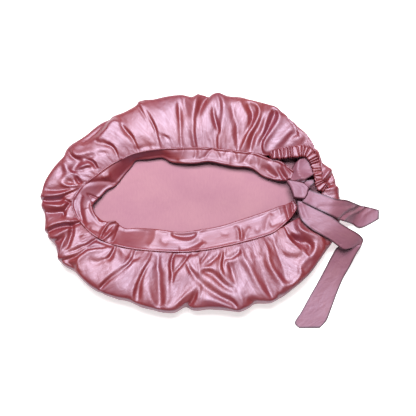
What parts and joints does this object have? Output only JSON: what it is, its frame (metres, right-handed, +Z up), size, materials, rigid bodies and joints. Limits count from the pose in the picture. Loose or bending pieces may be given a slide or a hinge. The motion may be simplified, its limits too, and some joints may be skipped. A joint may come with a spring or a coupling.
{
  "type": "sleep bonnet",
  "caption": "Gathered silk sleep bonnet lying open side up, with a flat front band, a ruched elastic nape casing and knotted ribbon ties.",
  "frame": {"origin": "on the floor under the middle of the crown, on the flat underside that the bonnet rests on", "axes": "+X along the bonnet towards the knot and the ties, +Y across it towards the side with the nape casing, +Z up out of the mouth"},
  "size_m": [0.3716, 0.2627, 0.0367],
  "materials": {
    "silk_satin": "silk satin, glossy outside and matt inside",
    "tie_silk": "silk satin, semi-matt"
  },
  "bodies": {
    "root": {"crown": "silk_satin", "front_band": "silk_satin", "elastic_casing": "silk_satin", "tie_loop": "tie_silk", "tie_knot": "tie_silk", "tie_short": "tie_silk", "tie_long": "tie_silk"}
  },
  "joints": []
}
